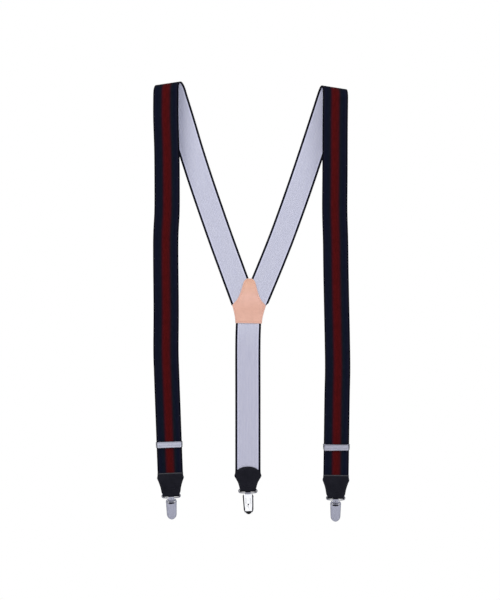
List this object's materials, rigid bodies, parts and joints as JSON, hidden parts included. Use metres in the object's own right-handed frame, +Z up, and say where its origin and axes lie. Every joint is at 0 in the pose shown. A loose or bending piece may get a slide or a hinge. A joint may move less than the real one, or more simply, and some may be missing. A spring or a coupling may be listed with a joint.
{
  "type": "suspenders",
  "caption": "Y-back clip suspenders in striped webbing with leather patch and tabs, sliding adjusters and lever clips that swing, open and grip",
  "frame": {"origin": "midway between the tops of the two shoulder folds, from which the suspenders hang", "axes": "+Z up along the hanging straps, +Y from the front straps towards the back straps, +X towards the second front strap, on the right as seen from the front"},
  "size_m": [0.2719, 0.034, 0.6064],
  "materials": {
    "navy_webbing": "ribbed woven elastic webbing, navy with a dark red centre stripe, pale lilac on the inner side",
    "black_leather": "smooth black leather with a fine grain and an edge seam",
    "peach_lining": "matt natural leather lining",
    "satin_steel": "satin nickel-plated steel",
    "chrome": "bright nickel-plated steel",
    "black_rubber": "matt black rubber"
  },
  "bodies": {
    "root": {"webbing_left_front": "navy_webbing", "webbing_left_front_lower": "navy_webbing", "webbing_left_shoulder": "navy_webbing", "webbing_left_rear": "navy_webbing", "webbing_right_front": "navy_webbing", "webbing_right_front_lower": "navy_webbing", "webbing_right_shoulder": "navy_webbing", "webbing_right_rear": "navy_webbing", "webbing_back_lower": "navy_webbing", "patch_outer": "black_leather", "patch_lining": "peach_lining", "tab_back": "black_leather"},
    "tab_left_body": {"tab_left": "black_leather", "tab_left_bar": "satin_steel", "webbing_left_return": "navy_webbing"},
    "adjuster_left_body": {"adjuster_left_frame": "satin_steel", "adjuster_left_pin": "satin_steel"},
    "adjuster_left_lid_body": {"adjuster_left_lid": "satin_steel"},
    "tab_right_body": {"tab_right": "black_leather", "tab_right_bar": "satin_steel", "webbing_right_return": "navy_webbing"},
    "adjuster_right_body": {"adjuster_right_frame": "satin_steel", "adjuster_right_pin": "satin_steel"},
    "adjuster_right_lid_body": {"adjuster_right_lid": "satin_steel"},
    "ring_left_body": {"clip_left_ring": "chrome"},
    "clip_left_body": {"clip_left_back_plate": "chrome", "clip_left_pin": "satin_steel", "clip_left_spring": "satin_steel", "clip_left_rivet": "chrome"},
    "lever_left_body": {"clip_left_lever": "satin_steel"},
    "jaw_left_body": {"clip_left_jaw": "satin_steel", "clip_left_grip_pad": "black_rubber"},
    "ring_right_body": {"clip_right_ring": "chrome"},
    "clip_right_body": {"clip_right_back_plate": "chrome", "clip_right_pin": "satin_steel", "clip_right_spring": "satin_steel", "clip_right_rivet": "chrome"},
    "lever_right_body": {"clip_right_lever": "satin_steel"},
    "jaw_right_body": {"clip_right_jaw": "satin_steel", "clip_right_grip_pad": "black_rubber"},
    "ring_back_body": {"clip_back_ring": "chrome"},
    "clip_back_body": {"clip_back_back_plate": "chrome", "clip_back_pin": "satin_steel", "clip_back_spring": "satin_steel", "clip_back_rivet": "chrome"},
    "lever_back_body": {"clip_back_lever": "satin_steel"},
    "jaw_back_body": {"clip_back_jaw": "satin_steel", "clip_back_grip_pad": "black_rubber"}
  },
  "joints": [
    {"name": "tab_left_rise", "type": "slide", "parent": "root", "child": "tab_left_body", "axis": [-0.0366, 0, 0.9993], "range_m": [0, 0.075], "deforming": ["webbing_left_front_lower"]},
    {"name": "adjuster_left_slide", "type": "slide", "parent": "tab_left_body", "child": "adjuster_left_body", "axis": [-0.0366, 0, 0.9993], "range_m": [0, 0.075], "deforming": ["webbing_left_return"]},
    {"name": "adjuster_left_lid_hinge", "type": "hinge", "parent": "adjuster_left_body", "child": "adjuster_left_lid_body", "pos_m": [-0.11278, -0.01425, -0.49243], "axis": [-0.9993, 0, -0.0366], "range_deg": [0, 100]},
    {"name": "tab_right_rise", "type": "slide", "parent": "root", "child": "tab_right_body", "axis": [0.014, 0, 0.9999], "range_m": [0, 0.075], "deforming": ["webbing_right_front_lower"]},
    {"name": "adjuster_right_slide", "type": "slide", "parent": "tab_right_body", "child": "adjuster_right_body", "axis": [0.014, 0, 0.9999], "range_m": [0, 0.075], "deforming": ["webbing_right_return"]},
    {"name": "adjuster_right_lid_hinge", "type": "hinge", "parent": "adjuster_right_body", "child": "adjuster_right_lid_body", "pos_m": [0.11768, -0.01425, -0.4954], "axis": [-0.9999, 0, 0.014], "range_deg": [0, 100]},
    {"name": "ring_left_swing", "type": "hinge", "parent": "tab_left_body", "child": "ring_left_body", "pos_m": [-0.11018, -0.01005, -0.56339], "axis": [0.9993, 0, 0.0366], "range_deg": [-60, 60]},
    {"name": "clip_left_swing", "type": "hinge", "parent": "ring_left_body", "child": "clip_left_body", "pos_m": [-0.10998, -0.01005, -0.56888], "axis": [0.9993, 0, 0.0366], "range_deg": [-60, 60]},
    {"name": "lever_left_open", "type": "hinge", "parent": "clip_left_body", "child": "lever_left_body", "pos_m": [-0.10979, -0.01345, -0.57408], "axis": [-0.9993, 0, -0.0366], "range_deg": [0, 95]},
    {"name": "jaw_left_open", "type": "hinge", "parent": "clip_left_body", "child": "jaw_left_body", "pos_m": [-0.10979, -0.01345, -0.57408], "axis": [-0.9993, 0, -0.0366], "range_deg": [0, 10.5]},
    {"name": "ring_right_swing", "type": "hinge", "parent": "tab_right_body", "child": "ring_right_body", "pos_m": [0.11669, -0.01005, -0.5664], "axis": [0.9999, 0, -0.014], "range_deg": [-60, 60]},
    {"name": "clip_right_swing", "type": "hinge", "parent": "ring_right_body", "child": "clip_right_body", "pos_m": [0.11661, -0.01005, -0.5719], "axis": [0.9999, 0, -0.014], "range_deg": [-60, 60]},
    {"name": "lever_right_open", "type": "hinge", "parent": "clip_right_body", "child": "lever_right_body", "pos_m": [0.11654, -0.01345, -0.5771], "axis": [-0.9999, 0, 0.014], "range_deg": [0, 95]},
    {"name": "jaw_right_open", "type": "hinge", "parent": "clip_right_body", "child": "jaw_right_body", "pos_m": [0.11654, -0.01345, -0.5771], "axis": [-0.9999, 0, 0.014], "range_deg": [0, 10.5]},
    {"name": "ring_back_swing", "type": "hinge", "parent": "root", "child": "ring_back_body", "pos_m": [-0.0043, 0.012, -0.5574], "axis": [-1, 0, 0], "range_deg": [-60, 60]},
    {"name": "clip_back_swing", "type": "hinge", "parent": "ring_back_body", "child": "clip_back_body", "pos_m": [-0.0043, 0.012, -0.5629], "axis": [-0.999, 0, -0.0436], "range_deg": [-60, 60]},
    {"name": "lever_back_open", "type": "hinge", "parent": "clip_back_body", "child": "lever_back_body", "pos_m": [-0.00407, 0.0154, -0.5681], "axis": [0.999, 0, 0.0436], "range_deg": [0, 95]},
    {"name": "jaw_back_open", "type": "hinge", "parent": "clip_back_body", "child": "jaw_back_body", "pos_m": [-0.00407, 0.0154, -0.5681], "axis": [0.999, 0, 0.0436], "range_deg": [0, 10.5]}
  ],
  "couplings": [
    {"joint": "adjuster_left_slide", "follows": "tab_left_rise", "ratio": 1},
    {"joint": "adjuster_right_slide", "follows": "tab_right_rise", "ratio": 1},
    {"joint": "jaw_left_open", "follows": "lever_left_open", "ratio": 0.11},
    {"joint": "jaw_right_open", "follows": "lever_right_open", "ratio": 0.11},
    {"joint": "jaw_back_open", "follows": "lever_back_open", "ratio": 0.11}
  ]
}
